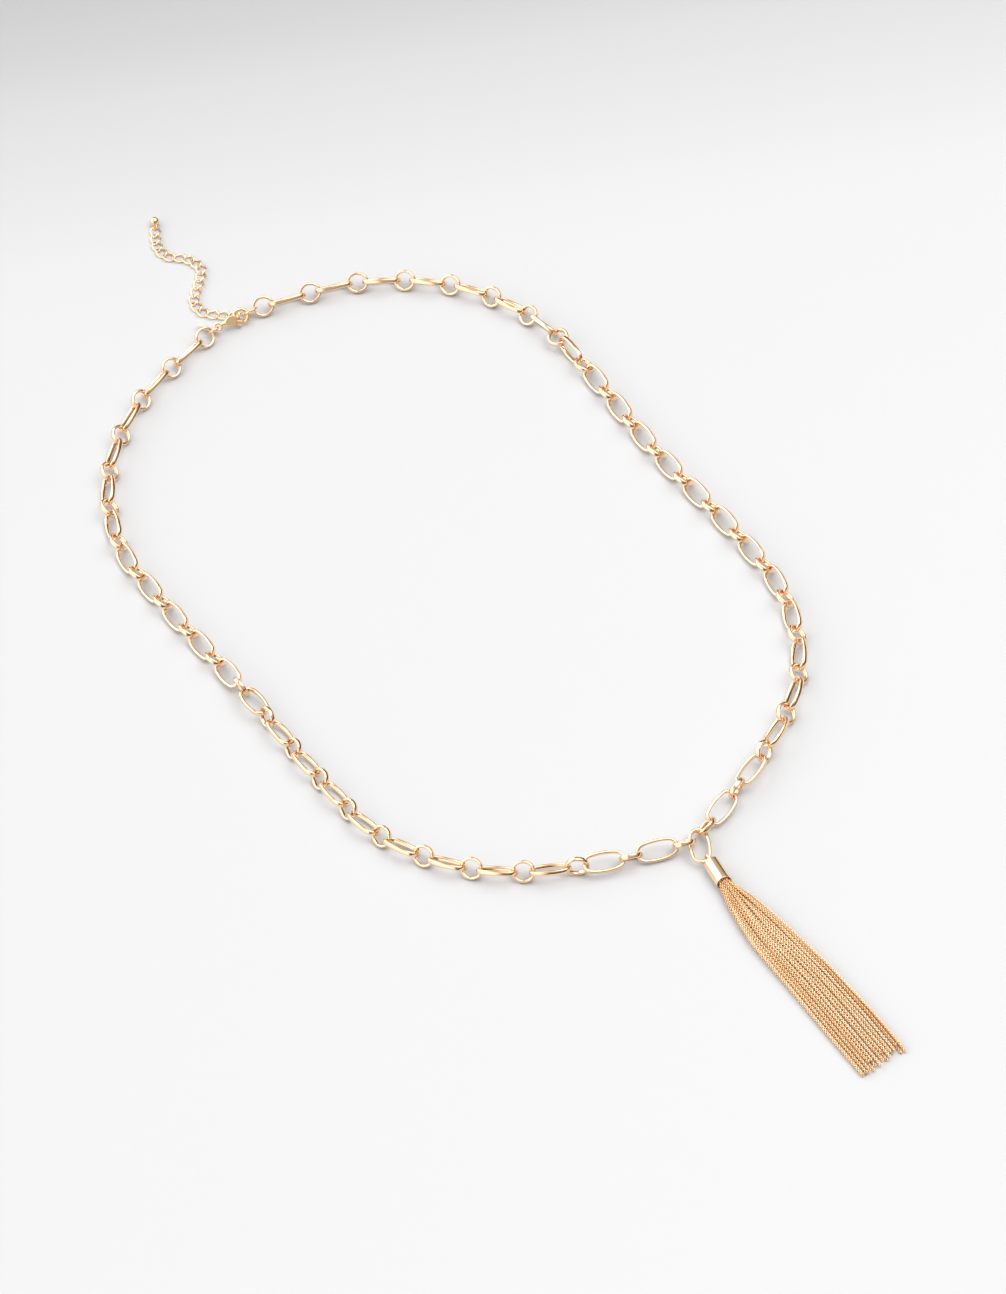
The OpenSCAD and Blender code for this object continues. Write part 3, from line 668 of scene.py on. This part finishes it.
def fine_chain_tree():
    """Sets an oval link at every pitch along the strands, each turned a quarter from the last."""
    tree = new_tree("fine_chain", (
        ("Pitch", "NodeSocketFloat"), ("Length", "NodeSocketFloat"), ("Width", "NodeSocketFloat"),
        ("Wire", "NodeSocketFloat"), ("Material", "NodeSocketMaterial")))
    nodes, links = tree.nodes, tree.links
    start = nodes.new("NodeGroupInput")
    end = nodes.new("NodeGroupOutput")
    curve = nodes.new("GeometryNodeMeshToCurve")
    links.new(start.outputs["Geometry"], curve.inputs["Mesh"])
    spaced = nodes.new("GeometryNodeResampleCurve")
    spaced.mode = "LENGTH"
    links.new(curve.outputs["Curve"], spaced.inputs["Curve"])
    links.new(start.outputs["Pitch"], spaced.inputs["Length"])
    # The quarter turns come on top of the strand's own slow twist.
    count = nodes.new("GeometryNodeSplineParameter")
    twist = nodes.new("GeometryNodeInputNamedAttribute")
    twist.data_type = "FLOAT"
    twist.inputs["Name"].default_value = "turn"
    quarter = nodes.new("ShaderNodeMath")
    quarter.operation = "MULTIPLY_ADD"
    quarter.inputs[1].default_value = math.pi / 2
    links.new(count.outputs["Index"], quarter.inputs[0])
    links.new(twist.outputs["Attribute"], quarter.inputs[2])
    kept = nodes.new("GeometryNodeStoreNamedAttribute")
    kept.data_type = "FLOAT"
    kept.domain = "POINT"
    kept.inputs["Name"].default_value = "angle"
    links.new(spaced.outputs["Curve"], kept.inputs["Geometry"])
    links.new(quarter.outputs[0], kept.inputs["Value"])
    points = nodes.new("GeometryNodeCurveToPoints")
    points.mode = "EVALUATED"
    links.new(kept.outputs["Geometry"], points.inputs["Curve"])
    # One link: an oval of wire along Z.
    bent = nodes.new("GeometryNodeCurvePrimitiveCircle")
    bent.inputs["Resolution"].default_value = OVAL_CORNERS
    bent.inputs["Radius"].default_value = 1
    half_width = nodes.new("ShaderNodeMath")
    half_width.operation = "SUBTRACT"
    links.new(start.outputs["Width"], half_width.inputs[0])
    links.new(start.outputs["Wire"], half_width.inputs[1])
    half_length = nodes.new("ShaderNodeMath")
    half_length.operation = "SUBTRACT"
    links.new(start.outputs["Length"], half_length.inputs[0])
    links.new(start.outputs["Wire"], half_length.inputs[1])
    size = nodes.new("ShaderNodeCombineXYZ")
    links.new(half_width.outputs[0], size.inputs["X"])
    links.new(half_length.outputs[0], size.inputs["Y"])
    halved = nodes.new("ShaderNodeVectorMath")
    halved.operation = "SCALE"
    halved.inputs["Scale"].default_value = 0.5
    links.new(size.outputs["Vector"], halved.inputs["Vector"])
    shaped = nodes.new("GeometryNodeTransform")
    shaped.inputs["Rotation"].default_value = (math.pi / 2, 0, 0)
    links.new(bent.outputs["Curve"], shaped.inputs["Geometry"])
    links.new(halved.outputs["Vector"], shaped.inputs["Scale"])
    wire = nodes.new("GeometryNodeCurvePrimitiveCircle")
    wire.inputs["Resolution"].default_value = WIRE_CORNERS
    thin = nodes.new("ShaderNodeMath")
    thin.operation = "MULTIPLY"
    thin.inputs[1].default_value = 0.5
    links.new(start.outputs["Wire"], thin.inputs[0])
    links.new(thin.outputs[0], wire.inputs["Radius"])
    link = nodes.new("GeometryNodeCurveToMesh")
    links.new(shaped.outputs["Geometry"], link.inputs["Curve"])
    links.new(wire.outputs["Curve"], link.inputs["Profile Curve"])
    placed = nodes.new("GeometryNodeInstanceOnPoints")
    links.new(points.outputs["Points"], placed.inputs["Points"])
    links.new(link.outputs["Mesh"], placed.inputs["Instance"])
    angle = nodes.new("GeometryNodeInputNamedAttribute")
    angle.data_type = "FLOAT"
    angle.inputs["Name"].default_value = "angle"
    about = nodes.new("ShaderNodeCombineXYZ")
    links.new(angle.outputs["Attribute"], about.inputs["Z"])
    as_turn = nodes.new("FunctionNodeEulerToRotation")
    links.new(about.outputs["Vector"], as_turn.inputs["Euler"])
    turned = nodes.new("FunctionNodeRotateRotation")
    turned.rotation_space = "LOCAL"
    links.new(points.outputs["Rotation"], turned.inputs["Rotation"])
    links.new(as_turn.outputs["Rotation"], turned.inputs["Rotate By"])
    links.new(turned.outputs["Rotation"], placed.inputs["Rotation"])
    # Each link keeps the height of its middle, for the painted shade in its recesses.
    middle = nodes.new("GeometryNodeInputPosition")
    middle_parts = nodes.new("ShaderNodeSeparateXYZ")
    links.new(middle.outputs["Position"], middle_parts.inputs["Vector"])
    raised = nodes.new("GeometryNodeStoreNamedAttribute")
    raised.data_type = "FLOAT"
    raised.domain = "INSTANCE"
    raised.inputs["Name"].default_value = "middle_height"
    links.new(placed.outputs["Instances"], raised.inputs["Geometry"])
    links.new(middle_parts.outputs["Z"], raised.inputs["Value"])
    real = nodes.new("GeometryNodeRealizeInstances")
    links.new(raised.outputs["Geometry"], real.inputs["Geometry"])
    # How far a point stands above its link's middle, in link widths: the recesses get painted shade.
    here = nodes.new("GeometryNodeInputPosition")
    here_parts = nodes.new("ShaderNodeSeparateXYZ")
    links.new(here.outputs["Position"], here_parts.inputs["Vector"])
    base = nodes.new("GeometryNodeInputNamedAttribute")
    base.data_type = "FLOAT"
    base.inputs["Name"].default_value = "middle_height"
    above = nodes.new("ShaderNodeMath")
    above.operation = "SUBTRACT"
    links.new(here_parts.outputs["Z"], above.inputs[0])
    links.new(base.outputs["Attribute"], above.inputs[1])
    proud = nodes.new("ShaderNodeMath")
    proud.operation = "DIVIDE"
    links.new(above.outputs[0], proud.inputs[0])
    links.new(start.outputs["Width"], proud.inputs[1])
    depth = nodes.new("GeometryNodeStoreNamedAttribute")
    depth.data_type = "FLOAT"
    depth.domain = "POINT"
    depth.inputs["Name"].default_value = "proud"
    links.new(real.outputs["Geometry"], depth.inputs["Geometry"])
    links.new(proud.outputs[0], depth.inputs["Value"])
    smooth = nodes.new("GeometryNodeSetShadeSmooth")
    links.new(depth.outputs["Geometry"], smooth.inputs["Geometry"])
    finish = nodes.new("GeometryNodeSetMaterial")
    links.new(smooth.outputs["Geometry"], finish.inputs["Geometry"])
    links.new(start.outputs["Material"], finish.inputs["Material"])
    links.new(finish.outputs["Geometry"], end.inputs["Geometry"])
    return tree


FINE_TINT = (1.0, 0.97, 0.82)
FINE_METALLIC = 0.65
fine_gold = gold("tassel_gold", FINE_TINT, roughness=0.12)
# In the recesses between the links the colour has painted shade, darker and redder than on the crowns.
# A crown begins and is full at these heights above a link's middle, in link widths.
RECESS_SHADE_TINT = (0.9, 0.56, 0.27)
CROWN_FROM = 0.02
CROWN_FULL = 0.42
fine_nodes, fine_links = fine_gold.node_tree.nodes, fine_gold.node_tree.links
fine_shader = fine_nodes["Principled BSDF"]
fine_shader.inputs["Metallic"].default_value = FINE_METALLIC
crown_tint = fine_shader.inputs["Base Color"].links[0].from_socket
stands_proud = fine_nodes.new("ShaderNodeAttribute")
stands_proud.attribute_name = "proud"
crown = fine_nodes.new("ShaderNodeMapRange")
crown.inputs["From Min"].default_value = CROWN_FROM
crown.inputs["From Max"].default_value = CROWN_FULL
fine_links.new(stands_proud.outputs["Fac"], crown.inputs["Value"])
# Painted shade: the recesses take the darker, redder tint.
recess_shade = fine_nodes.new("ShaderNodeMix")
recess_shade.data_type = "RGBA"
recess_shade.inputs["A"].default_value = (*RECESS_SHADE_TINT, 1)
fine_links.new(crown.outputs["Result"], recess_shade.inputs["Factor"])
fine_links.new(crown_tint, recess_shade.inputs["B"])
# Painted light and painted shade: some strands are painted brighter than others for a stretch, as their
# links lie flatter to the light. Where they crowd out of the cap, along the first share of their length,
# painted shade stands for how they shade each other. A strand's painted light has a mean, differs from
# strand to strand, and wanders along it.
STRAND_SHADE_TINT = (0.87, 0.73, 0.56)
CROWD_SHADE_REACH = 0.4
STRAND_LIGHT = 0.6
STRAND_LIGHT_DIFFERS = 0.3
STRAND_LIGHT_WANDERS = 0.35
strand_light = fine_nodes.new("ShaderNodeAttribute")
strand_light.attribute_name = "strand_light"
brighter = fine_nodes.new("ShaderNodeMix")
brighter.data_type = "RGBA"
brighter.blend_type = "MULTIPLY"
brighter.inputs["Factor"].default_value = 1
shade = fine_nodes.new("ShaderNodeMix")
shade.data_type = "RGBA"
shade.inputs["A"].default_value = (*STRAND_SHADE_TINT, 1)
shade.inputs["B"].default_value = (1, 1, 1, 1)
fine_links.new(strand_light.outputs["Fac"], shade.inputs["Factor"])
fine_links.new(recess_shade.outputs["Result"], brighter.inputs["A"])
fine_links.new(shade.outputs["Result"], brighter.inputs["B"])
fine_links.new(brighter.outputs["Result"], fine_shader.inputs["Base Color"])
chance = np.random.default_rng(STRAND_SEED)
fan_base = np.array((mouth[0], mouth[1], 0))
paths = [path @ fan_frame.T + fan_base for path in strand_paths(chance)]
turns = []
strand_lights = []
for path in paths:
    wave = np.cumsum(chance.normal(0, 1, len(path)))
    wave = wave - np.linspace(wave[0], wave[-1], len(path))
    wave = wave / max(1, abs(wave).max())
    # Painted shade where the strands crowd out of the cap, and each strand's painted light.
    crowd_shade = np.clip(np.linspace(0, 1, len(path)) / CROWD_SHADE_REACH, 0, 1)
    strand_light_here = chance.normal(STRAND_LIGHT, STRAND_LIGHT_DIFFERS) + STRAND_LIGHT_WANDERS * wave
    strand_lights.append(np.clip(strand_light_here, 0, 1) * crowd_shade)
    rate = TWIST * (chance.random() - 0.5)
    turns.append(2 * math.pi * (chance.normal(LEAN, LEANING) + rate * np.linspace(0, 1, len(path))))
fine_tree = fine_chain_tree()
for k in range(PIECES):
    own = {"turn": np.concatenate(turns[k::PIECES]), "strand_light": np.concatenate(strand_lights[k::PIECES])}
    strands = grown(
        "fine_chains_%d" % (k + 1), paths[k::PIECES], own, fine_tree,
        Pitch=FINE_PITCH, Length=FINE_LENGTH, Width=FINE_WIDTH, Wire=FINE_WIRE, Material=fine_gold)
    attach(strands, "necklace")
    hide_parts("tassel_strands")

# Clasp's body and lever. The body is a small brass casting with a tail loop and a claw; the lever is
# cast too and turns on a pin in the body's slot. Both are tumbled, so every edge is softly rounded.

# In millimetres: the skin's grain, and how close two corners of the CAD's mesh are one.
CAST_GRAIN = 0.065
CAST_MERGE = 0.0005
# How often the skin is smoothed.
CAST_SMOOTHING = 12
CLASP_TINT = (0.97, 0.72, 0.46)


def cast(name, source, material):
    """The CAD's solid as one closed skin with softened edges, worked out in millimetres."""
    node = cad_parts[source]
    mesh = node.data.copy()
    mesh.transform(Matrix.Scale(1 / MM, 4) @ node.matrix_world)
    merged = bmesh.new()
    merged.from_mesh(mesh)
    bmesh.ops.remove_doubles(merged, verts=merged.verts, dist=CAST_MERGE)
    merged.to_mesh(mesh)
    merged.free()
    carrier = bpy.data.objects.new(name + "_source", mesh)
    scene.collection.objects.link(carrier)
    skin = carrier.modifiers.new("skin", "REMESH")
    skin.mode = "VOXEL"
    skin.voxel_size = CAST_GRAIN
    skin.use_smooth_shade = True
    soften = carrier.modifiers.new("soften", "SMOOTH")
    soften.iterations = CAST_SMOOTHING
    ready = carrier.evaluated_get(bpy.context.evaluated_depsgraph_get())
    done = bpy.data.meshes.new_from_object(ready)
    done.transform(Matrix.Scale(MM, 4))
    done.name = name
    done.materials.clear()
    done.materials.append(material)
    bpy.data.objects.remove(carrier)
    piece = bpy.data.objects.new(name, done)
    scene.collection.objects.link(piece)
    return piece


clasp_gold = gold("clasp_gold", CLASP_TINT, roughness=0.1, wear=0.06, ripple=0.006)
casting = cast("clasp_casting", "clasp_body", clasp_gold)
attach(casting, "necklace")
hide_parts("clasp_body")
lever = cast("lever_casting", "clasp_lever", clasp_gold)
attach(lever, "lever")
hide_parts("clasp_lever")

# Jump rings. Two rings of round wire, bent shut so that their cut ends meet in a fine butt joint.
RING_JOINT = math.radians(1.6)
# Each ring: radius of the wire's middle line, wire, and direction of the joint in degrees.
GRIP_RING = (2.625 * MM, 0.75 * MM, -70)
TAIL_RING = (2.05 * MM, 0.7 * MM, 250)
RING_TINT = (0.98, 0.71, 0.45)
ring_gold = gold("ring_gold", RING_TINT, roughness=0.08)


def own_axes(name):
    """A node's points, the middle of its box, and its long, middle and short directions."""
    points = np.unique(np.round(points_of(name), SAME_PLACE), axis=0)
    middle = (points.min(axis=0) + points.max(axis=0)) / 2
    directions = np.linalg.svd(points - points.mean(axis=0), full_matrices=False)[2]
    if np.linalg.det(directions) < 0:
        directions[2] *= -1
    return points, middle, directions


for name, source, (radius, wire, joint) in (
        ("grip_ring", "clasp_jump_ring", GRIP_RING), ("tail_ring", "tail_jump_ring", TAIL_RING)):
    _, middle, directions = own_axes(source)
    towards = np.array((math.cos(math.radians(joint)), math.sin(math.radians(joint)), 0))
    flat = towards - directions[2] * (towards @ directions[2])
    flat = flat / np.linalg.norm(flat)
    ring_frame = np.stack((flat, np.cross(directions[2], flat), directions[2]), 0)
    points, faces, rows, sides = bent_wire(radius, wire, (RING_JOINT / 2, 2 * math.pi - RING_JOINT / 2))
    points = points @ ring_frame + middle
    faces.append(tuple(reversed(range(sides))))
    faces.append(tuple(range((rows - 1) * sides, rows * sides)))
    ring = mesh_piece(name, points, faces, ring_gold)
    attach(ring, "necklace")
    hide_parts(source)

# Tag. A small plate stamped from sheet brass, bare on both faces, with rounded edges, a hole and fine
# lines from its polishing.
TAG_LENGTH = 8.4 * MM
TAG_RADIUS = 1.6 * MM
TAG_THICKNESS = 0.5 * MM
TAG_HOLE_RADIUS = 0.85 * MM
TAG_HOLE_PLACE = 1.45 * MM
TAG_EDGE = 0.13 * MM
TAG_TINT = (0.98, 0.73, 0.5)
TAG_QUARTER = 30
TAG_EDGE_STEPS = 8


def tag_loops(middles, outward, radius, sense):
    """Loops of points that round the plate's rim, where sense is 1, or its hole, where it is -1."""
    loops = []
    for angle in np.radians(np.linspace(-90 * sense, 90 * sense, TAG_EDGE_STEPS + 1)):
        inset = TAG_EDGE * (1 - math.cos(angle))
        up_by = math.copysign(TAG_THICKNESS / 2 - TAG_EDGE, angle) + TAG_EDGE * math.sin(angle)
        flat_loop = middles + outward * (radius - sense * inset)
        loops.append(np.column_stack((flat_loop, np.full(len(flat_loop), up_by))))
    return loops


tag_points, tag_middle, tag_directions = own_axes("blank_tag")
_, ring_middle, _ = own_axes("tail_jump_ring")
away = tag_directions[0] * (1 if tag_directions[0] @ (tag_middle - ring_middle) > 0 else -1)
tag_up = tag_directions[2]
tag_frame = np.stack((away, np.cross(tag_up, away), tag_up), 0)
tag_along = (tag_points - tag_middle) @ away
tag_side = (tag_points - tag_middle) @ tag_frame[1]
tag_over = (tag_points - tag_middle) @ tag_up
tag_centre = tag_middle + tag_frame.T @ np.array([
    (v.min() + v.max()) / 2 for v in (tag_along, tag_side, tag_over)])
straight = TAG_LENGTH / 2 - TAG_RADIUS
half_round = np.linspace(-math.pi / 2, math.pi / 2, TAG_QUARTER)
spine = np.concatenate((
    np.full(TAG_QUARTER, straight), np.linspace(straight, -straight, TAG_QUARTER),
    np.full(TAG_QUARTER, -straight), np.linspace(-straight, straight, TAG_QUARTER)))
facing = np.concatenate((
    half_round, np.full(TAG_QUARTER, math.pi / 2), half_round + math.pi,
    np.full(TAG_QUARTER, 1.5 * math.pi)))
# Where two quarters meet, the place is there twice and one of the two goes.
kept = np.ones(len(spine), dtype=bool)
kept[[TAG_QUARTER, 2 * TAG_QUARTER, 3 * TAG_QUARTER, -1]] = False
spine = np.stack((spine[kept], np.zeros(kept.sum())), 1)
outward = np.stack((np.cos(facing[kept]), np.sin(facing[kept])), 1)
hole_middle = np.array((TAG_HOLE_PLACE - TAG_LENGTH / 2, 0))
from_hole = spine + outward * TAG_RADIUS - hole_middle
from_hole /= np.linalg.norm(from_hole, axis=1)[:, None]
loops = tag_loops(spine, outward, TAG_RADIUS, 1)
loops += tag_loops(hole_middle, from_hole, TAG_HOLE_RADIUS, -1)
tag_local = np.vstack(loops)
tag_gold = gold("tag_gold", TAG_TINT, roughness=0.1, ripple=0.003, lines=90)
tag = mesh_piece(
    "bare_tag", tag_local @ tag_frame + tag_centre,
    rows_of_faces(len(loops), len(spine), 0, True), tag_gold,
    np.stack((tag_local[:, 1] / TAG_RADIUS / 2, tag_local[:, 0] / TAG_LENGTH), 1))
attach(tag, "necklace")
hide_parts("blank_tag")

# Extender. Small links of fine round wire hang one in the next, each twisted from end to end so that
# the row lies flat. They are bent round the same places as the solid's links and rest on the board.
EXTENDER_LINK = (5.4 * MM, 4.1 * MM)
EXTENDER_WIRE = 0.58 * MM
EXTENDER_TWIST = math.radians(34)


def twisted_links(name):
    """Middle lines of the small links, lowered together until they rest, and their up directions."""
    half_length, half_width = [(size - EXTENDER_WIRE) / 2 for size in EXTENDER_LINK]
    turns = np.linspace(0, 2 * math.pi, LINK_STATIONS, endpoint=False)
    twist = EXTENDER_TWIST * np.cos(turns)
    lines, facings = [], []
    for solid in solids_of(name):
        middle = (solid.min(axis=0) + solid.max(axis=0)) / 2
        way = np.linalg.svd(solid - middle, full_matrices=False)[2][0]
        across = np.cross((0, 0, 1), way)
        across = across / np.linalg.norm(across)
        up = np.cross(way, across)
        line = middle + np.outer(half_length * np.cos(turns), way)
        line += np.outer(half_width * np.sin(turns) * np.cos(twist), across)
        line += np.outer(half_width * np.sin(turns) * np.sin(twist), up)
        lines.append(line)
        facings.append(np.tile(up, (len(line), 1)))
    room = min(line[:, 2].min() for line in lines) - EXTENDER_WIRE / 2
    return [line - (0, 0, room) for line in lines], facings


lines, facings = twisted_links("extender_chain")
extender = grown(
    "extender_links", lines, {"facing": np.vstack(facings)}, link_tree, True,
    Wire=EXTENDER_WIRE, Band=EXTENDER_WIRE, Material=ring_gold)
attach(extender, "necklace")
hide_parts("extender_chain")

# Ball at the extender's end. It is turned from brass and has a loop of wire soldered on. It keeps the
# solid's shape and takes the rings' gold.
ball_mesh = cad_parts["extender_ball"].data
ball_mesh.materials.clear()
ball_mesh.materials.append(ring_gold)
